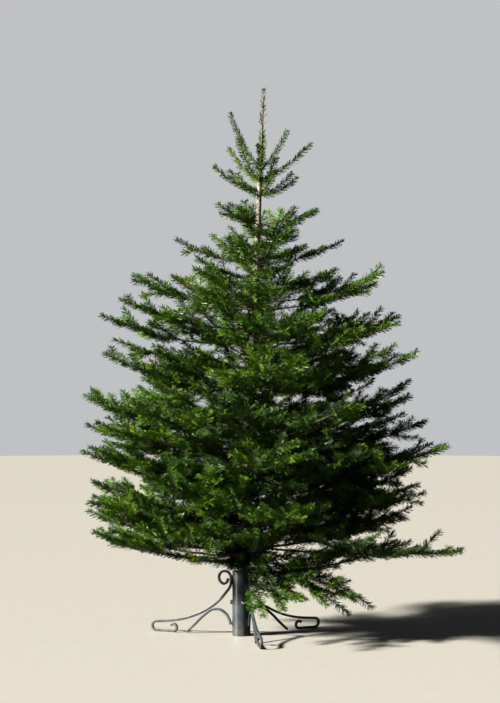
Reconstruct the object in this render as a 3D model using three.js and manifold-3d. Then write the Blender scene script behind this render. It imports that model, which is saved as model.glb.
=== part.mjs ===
// A cut fir Christmas tree in a wrought-iron stand.
//
// Millimetres, +Z up. The origin is on the ground, under the middle of the stand's tube.
// +X is the side that the tree leans to. The trunk stands in the tube, held by three clamp screws.
// The crown is built in whorls: each bough carries one flat, pointed mass of needles.
import * as THREE from 'three';
import { mergeVertices } from 'three/addons/utils/BufferGeometryUtils.js';
import Module from 'manifold-3d';

const wasm = await Module();
wasm.setup();

const DEG = Math.PI / 180;
const GAP = 0.3; // left between pieces that touch

// Stand: a 76 mm pipe with a disc for a floor, on three scrolled legs of 10 mm square bar
const TUBE_RADIUS = 38;
const TUBE_WALL = 3;
const TUBE_HEIGHT = 270;
const TUBE_FLOOR = 6;
const BAR = 10;
const LEG_HEADINGS = [278, 158, 30];
const LEG_OFFSET = 28; // each leg's plane passes this far to the side of the tube's axis
const LEG_REACH = 399;
const SCROLL_RADIUS = 27;
const SCROLL_END_RADIUS = 12.5;
const SCROLL_HEIGHT = 243;
const SCROLL_OUT = 63.5;
const FOOT_BEND = 19;
const FOOT_CURL = 15;
const SCREW_HEADING = 286;
const SCREW_HEIGHT = 138;
const SCREW_RADIUS = 5;
const NUT_ACROSS = 17;
const NUT_THICKNESS = 8;
const SCREW_END = 50; // how far the screw's outer end stands from the tube's axis

// Trunk: leans 2.46 degrees towards +X, and tapers from a 54 mm butt to a 5 mm leader
const LEAN = 2.46 * DEG;
const BUTT_X = -4;
const TREE_HEIGHT = 2300;
const LEADER_BASE = 1975;
const BUTT_RADIUS = 27;
const NECK_RADIUS = 8;
const LEADER_RADIUS = 4.6;
const LEADER_TIP_RADIUS = 2.4;
const TRUNK_SIDES = 12;

// Whorls, from the top. attach: height at the trunk; tip: height of the boughs' ends; reach: how far
// they go out; skew: the share longer towards +X and shorter towards -X; first: heading of the first
// bough in degrees; sag: how far the middle hangs under a straight line; bare: length with no needles.
const WHORLS = [
  { name: 'top', count: 3, attach: 1905, tip: 2080, reach: 205, skew: 0.1, first: 8, sag: 4, depth: 24 },
  { name: 'crown', count: 3, attach: 1735, tip: 1800, reach: 250, skew: 0, first: 350, sag: 10, depth: 34 },
  { name: 'high', count: 4, attach: 1570, tip: 1665, reach: 360, skew: 0.05, first: 12, sag: 18, depth: 44 },
  { name: 'upper', count: 4, attach: 1405, tip: 1530, reach: 550, skew: 0, first: 345, sag: 26, depth: 58 },
  { name: 'chest', count: 4, attach: 1235, tip: 1345, reach: 650, skew: 0, first: 14, sag: 30, depth: 64 },
  { name: 'middle', count: 5, attach: 1055, tip: 1185, reach: 675, skew: 0.06, first: 343, sag: 34, depth: 66 },
  { name: 'waist', count: 5, attach: 870, tip: 1010, reach: 750, skew: -0.04, first: 17, sag: 36, depth: 66 },
  { name: 'lower', count: 5, attach: 685, tip: 815, reach: 790, skew: 0.11, first: 343, sag: 36, depth: 66 },
  { name: 'skirt', count: 4, attach: 505, tip: 585, reach: 750, skew: 0.1, first: 16, sag: 30, depth: 58 },
  { name: 'hem', count: 4, attach: 375, tip: 395, reach: 770, skew: 0.25, first: 340, sag: 14, depth: 46, bare: 210 },
  { name: 'drooping', count: 2, attach: 322, tip: 190, reach: 560, skew: 0, first: 286, step: 38, sag: -34,
    depth: 32, bare: 230 },
];
const MASS_SIDES = 8;
const MASS_STATIONS = 10;
const BOUGH_SIDES = 6;
const BOUGH_STEPS = 3;
const BOUGH_RADIUS = 9;
const BOUGH_END_RADIUS = 6.5;

const ironPaint = new THREE.MeshStandardMaterial({ color: 0x2e3338, roughness: 0.45, metalness: 0.6 });
const zinc = new THREE.MeshStandardMaterial({ color: 0x8a8f94, roughness: 0.4, metalness: 0.9 });
const bark = new THREE.MeshStandardMaterial({ color: 0x6f6054, roughness: 0.9, metalness: 0 });
const needleGreens = [0x2f5a24, 0x28501f, 0x386429].map(
  (color) => new THREE.MeshStandardMaterial({ color, roughness: 0.7, metalness: 0 }),
);

const tree = new THREE.Group();

function add(parent, name, geometry, material) {
  const mesh = new THREE.Mesh(geometry, material);
  mesh.name = name;
  parent.add(mesh);
  return mesh;
}

// A closed three.js geometry as a solid that can be joined and cut
function solidOf(geometry) {
  const bare = geometry.clone();
  bare.deleteAttribute('normal');
  bare.deleteAttribute('uv');
  const merged = mergeVertices(bare, 1e-4);
  return new wasm.Manifold(new wasm.Mesh({
    numProp: 3,
    vertProperties: new Float32Array(merged.attributes.position.array),
    triVerts: new Uint32Array(merged.index.array),
  }));
}

function geometryOf(solid) {
  const mesh = solid.getMesh();
  const geometry = new THREE.BufferGeometry();
  geometry.setAttribute('position', new THREE.BufferAttribute(new Float32Array(mesh.vertProperties), 3));
  geometry.setIndex(new THREE.BufferAttribute(new Uint32Array(mesh.triVerts), 1));
  geometry.computeVertexNormals();
  return geometry;
}

// A path that a bar follows with one step from each of its points to the next
class BarPath extends THREE.CatmullRomCurve3 {
  getUtoTmapping(u) {
    return u;
  }
}

// A square bar bent in the XZ plane, through points given as [out, up]
function bentBar(points) {
  const half = BAR / 2;
  const section = new THREE.Shape();
  section.moveTo(-half, -half);
  section.lineTo(half, -half);
  section.lineTo(half, half);
  section.lineTo(-half, half);
  section.closePath();
  const path = new BarPath(points.map(([out, up]) => new THREE.Vector3(out, 0, up)));
  return new THREE.ExtrudeGeometry(section, { steps: points.length - 1, extrudePath: path });
}

// Points [out, up] on an arc whose radius runs evenly from one value to another
function arc(out, up, fromRadius, toRadius, fromAngle, toAngle, steps) {
  return Array.from({ length: steps + 1 }, (_, i) => {
    const t = i / steps;
    const radius = THREE.MathUtils.lerp(fromRadius, toRadius, t);
    const angle = THREE.MathUtils.lerp(fromAngle, toAngle, t) * DEG;
    return [out + radius * Math.cos(angle), up + radius * Math.sin(angle)];
  });
}

// The stand's tube: a cup turned in one piece, with three threaded holes through its wall
function makeTube() {
  const inside = TUBE_RADIUS - TUBE_WALL;
  const profile = [
    [0, 0],
    [TUBE_RADIUS, 0],
    [TUBE_RADIUS, TUBE_HEIGHT],
    [inside, TUBE_HEIGHT],
    [inside, TUBE_FLOOR],
    [0, TUBE_FLOOR],
  ].map(([x, y]) => new THREE.Vector2(x, y));
  let cup = solidOf(new THREE.LatheGeometry(profile, 24).rotateX(Math.PI / 2));
  for (let i = 0; i < 3; i++) {
    const hole = new THREE.CylinderGeometry(SCREW_RADIUS + GAP, SCREW_RADIUS + GAP, 2 * TUBE_WALL + 4, 8)
      .rotateZ(Math.PI / 2)
      .translate(TUBE_RADIUS - TUBE_WALL / 2, 0, SCREW_HEIGHT)
      .rotateZ((SCREW_HEADING + 120 * i) * DEG);
    cup = cup.subtract(solidOf(hole));
  }
  add(tree, 'stand_tube', geometryOf(cup), ironPaint);
}

// A clamp screw with its nut, which is welded to the tube. Its inner end bears on the trunk.
function makeScrew(i) {
  const heading = (SCREW_HEADING + 120 * i) * DEG;
  const trunkX = BUTT_X + Math.tan(LEAN) * SCREW_HEIGHT;
  const towardsTrunk = trunkX * Math.cos(heading);
  const sideways = trunkX * Math.sin(heading);
  const start = towardsTrunk + Math.sqrt((BUTT_RADIUS + 1) ** 2 - sideways ** 2);
  const shank = new THREE.CylinderGeometry(SCREW_RADIUS, SCREW_RADIUS, SCREW_END - start, 8)
    .rotateZ(Math.PI / 2)
    .translate((SCREW_END + start) / 2, 0, 0);
  const nutRadius = NUT_ACROSS / Math.sqrt(3);
  const nut = new THREE.CylinderGeometry(nutRadius, nutRadius, NUT_THICKNESS, 6)
    .rotateZ(Math.PI / 2)
    .translate(TUBE_RADIUS + GAP + NUT_THICKNESS / 2, 0, 0);
  const screw = add(tree, `clamp_screw_${i + 1}`, geometryOf(solidOf(shank).add(solidOf(nut))), zinc);
  screw.position.z = SCREW_HEIGHT;
  screw.rotation.z = heading;
}

// A leg and the brace under it: the leg's bar curls into a scroll beside the tube at the top, sweeps out
// to the foot, turns under, and runs back along the ground to a small curl
function makeLeg(i) {
  const plane = new THREE.Group();
  plane.rotation.z = LEG_HEADINGS[i] * DEG;
  const leg = add(plane, `leg_${i + 1}`, bentBar([
    ...arc(SCROLL_OUT, SCROLL_HEIGHT, SCROLL_END_RADIUS, SCROLL_RADIUS, -165, -80, 4),
    ...arc(SCROLL_OUT, SCROLL_HEIGHT, SCROLL_RADIUS, SCROLL_RADIUS, -55, 180, 10),
    [SCROLL_OUT - SCROLL_RADIUS, 222],
    [42, 202],
    [64, 174],
    [93, 142],
    [139, 108],
    [195, 80],
    [251, 61],
    [311, 49.5],
    ...arc(LEG_REACH - FOOT_BEND, BAR / 2 + FOOT_BEND, FOOT_BEND, FOOT_BEND, 90, -90, 6),
    [340, BAR / 2],
    ...arc(300, BAR / 2 + FOOT_CURL, FOOT_CURL, FOOT_CURL, -90, -320, 8),
  ]), ironPaint);
  leg.position.y = LEG_OFFSET;
  const brace = add(plane, `brace_${i + 1}`, bentBar([
    [37, 46],
    [44, 68],
    [58, 90],
    [84, 106.5],
    [107, 108],
    [130, 101.3],
    [168, 72],
    [204, 37],
    [241.5, 4.4],
  ]), ironPaint);
  brace.position.y = LEG_OFFSET;
  tree.add(plane);
}

// The trunk's radius at a distance along it from the butt
function trunkRadius(along) {
  if (along > LEADER_BASE) {
    const t = (along - LEADER_BASE) / (TREE_HEIGHT - LEADER_BASE);
    return THREE.MathUtils.lerp(LEADER_RADIUS, LEADER_TIP_RADIUS, t);
  }
  const t = along / LEADER_BASE;
  return THREE.MathUtils.lerp(BUTT_RADIUS, NECK_RADIUS, t ** 1.25);
}

// The middle of the trunk at a height above the ground
function trunkMiddle(height) {
  return new THREE.Vector3(BUTT_X + Math.tan(LEAN) * height, 0, height);
}

function makeTrunk() {
  const buttHeight = TUBE_FLOOR + GAP + BUTT_RADIUS * Math.sin(LEAN);
  const length = (TREE_HEIGHT - buttHeight) / Math.cos(LEAN);
  const rings = [0, 250, 500, 750, 1000, 1250, 1500, 1700, 1900, LEADER_BASE - 12, LEADER_BASE + 6, 2150, length - 9];
  const profile = rings.map((along) => new THREE.Vector2(trunkRadius(along), along));
  const lathed = [new THREE.Vector2(0, 0), ...profile, new THREE.Vector2(0, length)];
  const trunk = add(tree, 'trunk', new THREE.LatheGeometry(lathed, TRUNK_SIDES).rotateX(Math.PI / 2), bark);
  // the butt is a flat cut, square to the leaning trunk, so its low edge clears the floor of the tube
  trunk.position.copy(trunkMiddle(buttHeight));
  trunk.rotation.y = LEAN;
}

// A number from 0 to 1 that depends only on its seeds
function chance(a, b, c) {
  const x = Math.sin(a * 127.1 + b * 311.7 + c * 74.7) * 43758.5453;
  return x - Math.floor(x);
}

// One bough of a whorl: its heading, and the height of its middle line at a share of its reach
function boughOf(whorl, i) {
  const step = whorl.step ?? 360 / whorl.count;
  const wobble = (chance(whorl.attach, i, 1) - 0.5) * 8;
  const heading = (whorl.first + step * i + wobble) * DEG;
  const evenness = 1 - 0.03 * chance(whorl.attach, i, 2);
  const reach = whorl.reach * (1 + whorl.skew * Math.cos(heading)) * evenness;
  const attach = whorl.attach - 12 * chance(whorl.attach, i, 3);
  const tip = whorl.tip - 20 * chance(whorl.attach, i, 4);
  const foot = trunkMiddle(attach);
  const pointAt = (share, side = 0, rise = 0) => {
    const height = THREE.MathUtils.lerp(attach, tip, share) - 4 * whorl.sag * share * (1 - share);
    return new THREE.Vector3(
      foot.x + reach * share * Math.cos(heading) - side * Math.sin(heading),
      foot.y + reach * share * Math.sin(heading) + side * Math.cos(heading),
      height + rise,
    );
  };
  return { heading, reach, attach, pointAt };
}

// A mass of needles: a flat fan along its bough, widest a little past its middle, with a jagged edge
// where the side twigs end, and a point at the bough's tip
function massOf(whorl, i, bough) {
  const firstShare = (whorl.bare ?? trunkRadius(whorl.attach) + 4) / bough.reach;
  const sector = Math.tan(Math.min((whorl.step ?? 360 / whorl.count) / 2, 38) * DEG) * 0.93;
  const geometry = new THREE.SphereGeometry(1, MASS_SIDES, MASS_STATIONS);
  const position = geometry.attributes.position;
  const vertex = new THREE.Vector3();
  for (let v = 0; v < position.count; v++) {
    vertex.fromBufferAttribute(position, v);
    const along = Math.acos(THREE.MathUtils.clamp(vertex.y, -1, 1)) / Math.PI;
    const station = Math.round(along * MASS_STATIONS);
    const ring = Math.hypot(vertex.x, vertex.z);
    const across = ring > 1e-6 ? vertex.x / ring : 0;
    const over = ring > 1e-6 ? vertex.z / ring : 0;
    const atPole = station === 0 || station === MASS_STATIONS;
    const side = Math.sign(Math.round(across * 100));
    const bump = 1 - 0.22 * chance(whorl.attach + i, station, Math.round(across * 3 + over * 7));
    const jag = station % 2 ? 1 : 0.7;
    const share = THREE.MathUtils.lerp(firstShare, 1, along);
    const fan = Math.min(bough.reach * share * sector, bough.reach * 0.62 * (1 - along) ** 0.85 + 14);
    const width = atPole ? 0 : fan * jag * bump;
    const swell = Math.sin(Math.PI * Math.min(along * 0.86 + 0.14, 1)) ** 0.7;
    const thickness = atPole ? 0 : (whorl.depth * swell + 8) * bump;
    const forward = side && station % 2 && !atPole ? 0.035 : 0;
    const droop = Math.abs(across) * thickness * 0.3;
    const point = bough.pointAt(Math.min(share + forward, 1), across * width, over * thickness - droop);
    position.setXYZ(v, point.x, point.y, point.z);
  }
  return geometry;
}

// The bare, tapering limb between the trunk and the mass
function limbOf(whorl, bough) {
  const geometry = new THREE.CylinderGeometry(1, 1, 1, BOUGH_SIDES, BOUGH_STEPS);
  const position = geometry.attributes.position;
  const vertex = new THREE.Vector3();
  const from = (trunkRadius(whorl.attach) + GAP + 1.5) / bough.reach;
  const to = (whorl.bare - GAP - 1) / bough.reach;
  for (let v = 0; v < position.count; v++) {
    vertex.fromBufferAttribute(position, v);
    const along = vertex.y + 0.5;
    const radius = THREE.MathUtils.lerp(BOUGH_RADIUS, BOUGH_END_RADIUS, along);
    const share = THREE.MathUtils.lerp(from, to, along);
    const point = bough.pointAt(share, vertex.x * radius, -vertex.z * radius);
    position.setXYZ(v, point.x, point.y, point.z);
  }
  return geometry;
}

makeTube();
for (let i = 0; i < 3; i++) {
  makeScrew(i);
  makeLeg(i);
}
makeTrunk();
WHORLS.forEach((whorl, w) => {
  for (let i = 0; i < whorl.count; i++) {
    const bough = boughOf(whorl, i);
    if (whorl.bare) {
      add(tree, `bough_${whorl.name}_${i + 1}`, limbOf(whorl, bough), bark);
    }
    const green = needleGreens[(w + i) % needleGreens.length];
    add(tree, `needles_${whorl.name}_${i + 1}`, massOf(whorl, i, bough), green);
  }
});

export default tree;
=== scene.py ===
import math
import random
import bmesh
import bpy
import numpy as np
from mathutils import Matrix, Vector, noise


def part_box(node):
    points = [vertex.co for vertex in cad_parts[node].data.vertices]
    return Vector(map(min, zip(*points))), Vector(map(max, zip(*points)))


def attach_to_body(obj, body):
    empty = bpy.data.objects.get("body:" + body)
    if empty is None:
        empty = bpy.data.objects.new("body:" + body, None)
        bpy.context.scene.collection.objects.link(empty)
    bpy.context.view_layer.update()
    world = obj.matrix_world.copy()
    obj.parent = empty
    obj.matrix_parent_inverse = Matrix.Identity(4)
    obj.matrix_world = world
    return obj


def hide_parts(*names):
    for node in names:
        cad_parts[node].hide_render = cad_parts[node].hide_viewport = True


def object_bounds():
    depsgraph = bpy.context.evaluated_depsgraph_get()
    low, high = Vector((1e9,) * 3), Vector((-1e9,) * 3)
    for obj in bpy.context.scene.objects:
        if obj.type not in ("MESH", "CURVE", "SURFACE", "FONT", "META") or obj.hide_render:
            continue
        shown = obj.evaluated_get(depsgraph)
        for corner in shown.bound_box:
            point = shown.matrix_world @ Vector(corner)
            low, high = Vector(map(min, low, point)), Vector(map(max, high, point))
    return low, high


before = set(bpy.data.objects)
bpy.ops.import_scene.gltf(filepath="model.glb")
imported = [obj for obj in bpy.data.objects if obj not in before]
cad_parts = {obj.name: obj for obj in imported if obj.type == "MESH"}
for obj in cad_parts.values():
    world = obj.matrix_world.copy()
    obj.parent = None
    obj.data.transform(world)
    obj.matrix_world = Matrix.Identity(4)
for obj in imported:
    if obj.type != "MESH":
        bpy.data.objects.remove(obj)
cad_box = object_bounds()

# A cut fir Christmas tree in a wrought-iron stand, all in metres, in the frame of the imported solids.
# The sections come in the order in which the real thing is put together: stand, trunk, boughs, needles.

# The stand's tube: a cup of 76 mm steel pipe with a 3 mm wall, rolled a little at its rim, with a
# disc welded into its foot. It is painted anthracite, and grit from the ground clings to its foot.
_, tube_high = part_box("stand_tube")
TUBE_RADIUS = tube_high.x
TUBE_WALL = 0.003
TUBE_HEIGHT = tube_high.z
TUBE_FLOOR = 0.006
RIM_ROUND = 0.0012
FOOT_WELD = 0.0035
FOOT_ROUND = 0.0015
TURNED_STEPS = 72
PAINT = (0.028, 0.038, 0.050, 1)
PAINT_WORN = (0.082, 0.100, 0.120, 1)
RUST = (0.085, 0.035, 0.014, 1)
GRIT = (0.2, 0.17, 0.13, 1)


def add_node(tree, kind, values=None, **settings):
    """A shader node with its settings and its unlinked inputs filled in."""
    made = tree.nodes.new(kind)
    for key, value in settings.items():
        setattr(made, key, value)
    for key, value in (values or {}).items():
        made.inputs[key].default_value = value
    return made


def new_group(name, inputs, outputs):
    """An empty shader group with its sockets, each given as (name, kind) or (name, kind, value)."""
    group = bpy.data.node_groups.new(name, "ShaderNodeTree")
    for socket, kind, value in inputs:
        group.interface.new_socket(socket, in_out="INPUT", socket_type=kind).default_value = value
    for socket, kind in outputs:
        group.interface.new_socket(socket, in_out="OUTPUT", socket_type=kind)
    return group, group.nodes.new("NodeGroupInput"), group.nodes.new("NodeGroupOutput")


def noise_mask(group, place, scale, low, high, detail=4.0):
    """A mask from 0 to 1 where a noise pattern rises from low to high."""
    pattern = add_node(group, "ShaderNodeTexNoise", {"Detail": detail, "Roughness": 0.6})
    if isinstance(scale, (int, float)):
        pattern.inputs["Scale"].default_value = scale
    else:
        group.links.new(scale, pattern.inputs["Scale"])
    group.links.new(place, pattern.inputs["Vector"])
    spread = add_node(group, "ShaderNodeMapRange", {"From Min": low, "From Max": high})
    group.links.new(pattern.outputs["Fac"], spread.inputs["Value"])
    return spread.outputs["Result"]


def mix_colours(tree, mask, first, second):
    """first where the mask is 0 and second where it is 1; each is a socket or a colour."""
    mix = tree.nodes.new("ShaderNodeMix")
    mix.data_type = "RGBA"
    for socket, given in ((mix.inputs[0], mask), (mix.inputs[6], first), (mix.inputs[7], second)):
        if isinstance(given, bpy.types.NodeSocket):
            tree.links.new(given, socket)
        else:
            socket.default_value = given
    return mix.outputs[2]


def calculate(tree, operation, *given):
    """One sum of masks or numbers."""
    sum_node = tree.nodes.new("ShaderNodeMath")
    sum_node.operation = operation
    for socket, value in zip(sum_node.inputs, given):
        if isinstance(value, bpy.types.NodeSocket):
            tree.links.new(value, socket)
        else:
            socket.default_value = value
    return sum_node.outputs[0]


FLOAT, COLOUR = "NodeSocketFloat", "NodeSocketColor"
weathered, taken, given_out = new_group(
    "weathered paint",
    [("Paint", COLOUR, PAINT), ("Worn", COLOUR, PAINT_WORN), ("Rust", FLOAT, 0.5), ("Grit", FLOAT, 0.6)],
    [("Color", COLOUR), ("Roughness", FLOAT), ("Height", FLOAT)],
)
place = add_node(weathered, "ShaderNodeTexCoord").outputs["Object"]
blotches = noise_mask(weathered, place, 17.0, 0.42, 0.68)
specks = noise_mask(weathered, place, 120.0, 0.62, 0.7, 6.0)
orange_peel = noise_mask(weathered, place, 420.0, 0.3, 0.7, 2.0)
height = add_node(weathered, "ShaderNodeSeparateXYZ")
weathered.links.new(place, height.inputs[0])
near_ground = add_node(weathered, "ShaderNodeMapRange", {"From Min": 0.075, "From Max": 0.0})
weathered.links.new(height.outputs["Z"], near_ground.inputs["Value"])
grit_mask = calculate(weathered, "MULTIPLY", near_ground.outputs["Result"], taken.outputs["Grit"])
grit_mask = calculate(weathered, "MULTIPLY", grit_mask, noise_mask(weathered, place, 60.0, 0.3, 0.65))
rust_mask = calculate(weathered, "MULTIPLY", specks, taken.outputs["Rust"])
worn = mix_colours(
    weathered, calculate(weathered, "MULTIPLY", blotches, 0.55), taken.outputs["Paint"], taken.outputs["Worn"]
)
rusted = mix_colours(weathered, rust_mask, worn, RUST)
weathered.links.new(mix_colours(weathered, grit_mask, rusted, GRIT), given_out.inputs["Color"])
dulled = calculate(weathered, "MULTIPLY_ADD", blotches, 0.16, 0.3)
dulled = calculate(weathered, "MULTIPLY_ADD", rust_mask, 0.3, dulled)
dulled = calculate(weathered, "MULTIPLY_ADD", grit_mask, 0.35, dulled)
weathered.links.new(dulled, given_out.inputs["Roughness"])
bumps = calculate(weathered, "MULTIPLY_ADD", specks, -0.5, orange_peel)
weathered.links.new(bumps, given_out.inputs["Height"])


def new_material(name, group, values, bump, depth, **sockets):
    """A material whose colour, roughness and relief come from a group; sockets are the shader's own."""
    material = bpy.data.materials.new(name)
    material.use_nodes = True
    tree = material.node_tree
    shader = tree.nodes["Principled BSDF"]
    for key, value in sockets.items():
        shader.inputs[key.replace("_", " ")].default_value = value
    effect = add_node(tree, "ShaderNodeGroup", node_tree=group)
    for key, value in values.items():
        effect.inputs[key].default_value = value
    relief = add_node(tree, "ShaderNodeBump", {"Strength": bump, "Distance": depth})
    tree.links.new(effect.outputs["Color"], shader.inputs["Base Color"])
    tree.links.new(effect.outputs["Roughness"], shader.inputs["Roughness"])
    tree.links.new(effect.outputs["Height"], relief.inputs["Height"])
    tree.links.new(relief.outputs["Normal"], shader.inputs["Normal"])
    return material


def add_piece(name, mesh, material, slot, *nodes):
    """A finished mesh as a piece of the tree: it rides on the one body and stands for CAD nodes."""
    piece = bpy.data.objects.new(name, mesh)
    bpy.context.scene.collection.objects.link(piece)
    mesh.materials.append(material)
    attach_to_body(piece, "root")
    if nodes:
        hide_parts(*nodes)
    return piece


def mesh_of(bm, name, smooth_angle=35):
    """The bmesh as a mesh that is smooth except at edges sharper than the angle."""
    mesh = bpy.data.meshes.new(name)
    bm.to_mesh(mesh)
    bm.free()
    mesh.shade_smooth()
    mesh.set_sharp_from_angle(angle=math.radians(smooth_angle))
    return mesh


iron = new_material(
    "anthracite paint", weathered, {"Rust": 0.5, "Grit": 0.4}, 0.25, 0.0004, Metallic=0.0, Coat_Weight=0.25
)


def turned_shell(bm, outline, steps):
    """Turns an outline of (radius, height) points round the upright axis into a closed shell."""
    corners = [bm.verts.new((radius, 0, up)) for radius, up in outline]
    edges = [bm.edges.new(pair) for pair in zip(corners, corners[1:])]
    bmesh.ops.spin(
        bm, geom=corners + edges, cent=(0, 0, 0), axis=(0, 0, 1), angle=math.tau, steps=steps, use_merge=True
    )
    bmesh.ops.remove_doubles(bm, verts=bm.verts, dist=1e-6)
    bmesh.ops.recalc_face_normals(bm, faces=bm.faces)


def rounded(centre_radius, centre_height, radius, from_angle, to_angle, steps):
    """Points of an arc of an outline."""
    turns = [math.radians(from_angle + (to_angle - from_angle) * i / steps) for i in range(steps + 1)]
    return [(centre_radius + radius * math.cos(a), centre_height + radius * math.sin(a)) for a in turns]


inside = TUBE_RADIUS - TUBE_WALL
cup = bmesh.new()
turned_shell(
    cup,
    [(0, 0)]
    + [(TUBE_RADIUS - FOOT_ROUND, 0)]
    + rounded(TUBE_RADIUS - FOOT_ROUND, FOOT_ROUND, FOOT_ROUND, -90, 0, 3)[1:]
    + [(TUBE_RADIUS, TUBE_HEIGHT * i / 9) for i in range(1, 9)]
    + rounded(TUBE_RADIUS - RIM_ROUND, TUBE_HEIGHT - RIM_ROUND, RIM_ROUND, 0, 90, 4)
    + rounded(inside + RIM_ROUND, TUBE_HEIGHT - RIM_ROUND, RIM_ROUND, 90, 180, 4)
    + rounded(inside - FOOT_WELD, TUBE_FLOOR + FOOT_WELD, FOOT_WELD, 0, -90, 4)
    + [(0, TUBE_FLOOR)],
    TURNED_STEPS,
)
add_piece("tube_of_stand", mesh_of(cup, "tube_of_stand"), iron, "iron_paint", "stand_tube")

# The clamp screws: three M10 screws in hexagon nuts that are welded to the tube, 120 degrees apart.
# Zinc-plated steel, dark grey and dull, with specks of rust. Each has a hexagon socket in its outer end
# and bears on the trunk.
SCREW_HEIGHT = 0.138
SCREW_HEADINGS = [math.radians(286 + 120 * i) for i in range(3)]
SCREW_RADIUS = 0.005
THREAD_DEPTH = 0.0006
THREAD_PITCH = 0.0015
SOCKET_ACROSS = 0.005
SOCKET_DEPTH = 0.004
NUT_ACROSS = 0.017
NUT_THICKNESS = 0.008
SCREW_END = 0.05
SCREW_CHAMFER = 0.0012
WELD_RADII = (0.0112, 0.0098)
WELD_HEIGHT = 0.0022
SEAM = 0.0003  # a nut's gap to the tube, under its weld
zinc = new_material(
    "dull zinc",
    weathered,
    {"Paint": (0.10, 0.10, 0.10, 1), "Worn": (0.17, 0.17, 0.17, 1), "Rust": 0.8, "Grit": 0.6},
    0.2,
    0.0002,
    Metallic=0.9,
)


def point_outwards(heading, height):
    """Turns a piece that is built along +Z so that it points away from the tube's axis."""
    return Matrix.Translation((0, 0, height)) @ Matrix.Rotation(heading, 4, "Z") @ Matrix.Rotation(
        math.radians(90), 4, "Y"
    )


for number, heading in enumerate(SCREW_HEADINGS, 1):
    node_points = [v.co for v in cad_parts[f"clamp_screw_{number}"].data.vertices]
    outwards = Vector((math.cos(heading), math.sin(heading), 0))
    start = min(p.dot(outwards) for p in node_points)
    screw = bmesh.new()
    outline = [(0, start)]
    ridge = start
    while ridge < SCREW_END - THREAD_PITCH:
        outline += [(SCREW_RADIUS - THREAD_DEPTH, ridge), (SCREW_RADIUS, ridge + THREAD_PITCH / 2)]
        ridge += THREAD_PITCH
    outline += [(SCREW_RADIUS - THREAD_DEPTH, ridge), (SCREW_RADIUS - THREAD_DEPTH, SCREW_END - 0.0006)]
    outline += [(SCREW_RADIUS - SCREW_CHAMFER, SCREW_END), (0, SCREW_END)]
    turned_shell(screw, outline, 24)
    end_faces = [f for f in screw.faces if all(abs(v.co.z - SCREW_END) < 1e-6 for v in f.verts)]
    bmesh.ops.dissolve_faces(screw, faces=end_faces)
    end_face = max(screw.faces, key=lambda f: f.calc_center_median().z)
    wall = SCREW_RADIUS - SCREW_CHAMFER - SOCKET_ACROSS / 2
    bmesh.ops.inset_region(screw, faces=[end_face], thickness=wall)
    bottom = bmesh.ops.extrude_face_region(screw, geom=[end_face])["geom"]
    bmesh.ops.delete(screw, geom=[end_face], context="FACES_ONLY")
    socket_floor = [g for g in bottom if isinstance(g, bmesh.types.BMVert)]
    bmesh.ops.translate(screw, verts=socket_floor, vec=(0, 0, -SOCKET_DEPTH))
    nut = bmesh.ops.create_cone(
        screw,
        cap_ends=True,
        segments=6,
        radius1=NUT_ACROSS / math.sqrt(3),
        radius2=NUT_ACROSS / math.sqrt(3),
        depth=NUT_THICKNESS,
    )
    bmesh.ops.translate(screw, verts=nut["verts"], vec=(0, 0, TUBE_RADIUS + SEAM + NUT_THICKNESS / 2))
    nut_edges = {e for v in nut["verts"] for e in v.link_edges}
    bmesh.ops.bevel(
        screw, geom=list(nut_edges), offset=0.0008, segments=2, profile=0.5, affect="EDGES", material=-1
    )
    weld = bmesh.ops.create_cone(
        screw, cap_ends=True, segments=24, radius1=WELD_RADII[0], radius2=WELD_RADII[1], depth=WELD_HEIGHT
    )
    bmesh.ops.translate(screw, verts=weld["verts"], vec=(0, 0, TUBE_RADIUS + 0.0002))
    bmesh.ops.transform(screw, matrix=point_outwards(heading, SCREW_HEIGHT), verts=screw.verts)
    name = f"fitted_clamp_screw_{number}"
    add_piece(name, mesh_of(screw, name), zinc, "zinc", f"clamp_screw_{number}")

# The legs and braces: three of each, of 10 mm square steel bar, bent cold on a scroll iron and welded
# to the tube. A leg curls beside the tube at the top and ends in a small curl on the ground; a brace
# arches under it. SWEEP and BRACE give the bends of the bar as distances out from the axis and up.
BAR = 0.010
BAR_ROUND = 0.0011
LEG_HEADINGS = [math.radians(a) for a in (278, 158, 30)]
LEG_OFFSET = 0.028
LEG_REACH = 0.399
SCROLL_RADIUS = 0.027
SCROLL_END_RADIUS = 0.0125
SCROLL_HEIGHT = 0.243
SCROLL_OUT = 0.0635
FOOT_BEND = 0.019
FOOT_CURL = 0.015
FOOT_CURL_OUT = 0.300
FOOT_FLAT_OUT = 0.340
BEAD_RADIUS = 0.0026
BEAD_PLACE = (0.0305, 0.0235)  # out from the tube's axis, and to the side
BEAD_SPANS = {"leg": (0.2, 0.252), "brace": (0.042, 0.058)}  # from and to which height a weld runs
SWEEP = [
    (0.0365, 0.222),
    (0.042, 0.202),
    (0.064, 0.174),
    (0.093, 0.142),
    (0.139, 0.108),
    (0.195, 0.080),
    (0.251, 0.061),
    (0.311, 0.0495),
]
BRACE = [
    (0.037, 0.046),
    (0.044, 0.068),
    (0.058, 0.090),
    (0.084, 0.1065),
    (0.107, 0.108),
    (0.130, 0.1013),
    (0.168, 0.072),
    (0.204, 0.037),
    (0.2415, 0.0044),
]


def arc(out, up, from_radius, to_radius, from_angle, to_angle, steps):
    """Points (out, up) on an arc whose radius runs evenly from one value to another."""
    points = []
    for i in range(steps + 1):
        share = i / steps
        radius = from_radius + (to_radius - from_radius) * share
        angle = math.radians(from_angle + (to_angle - from_angle) * share)
        points.append((out + radius * math.cos(angle), up + radius * math.sin(angle)))
    return points


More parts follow.
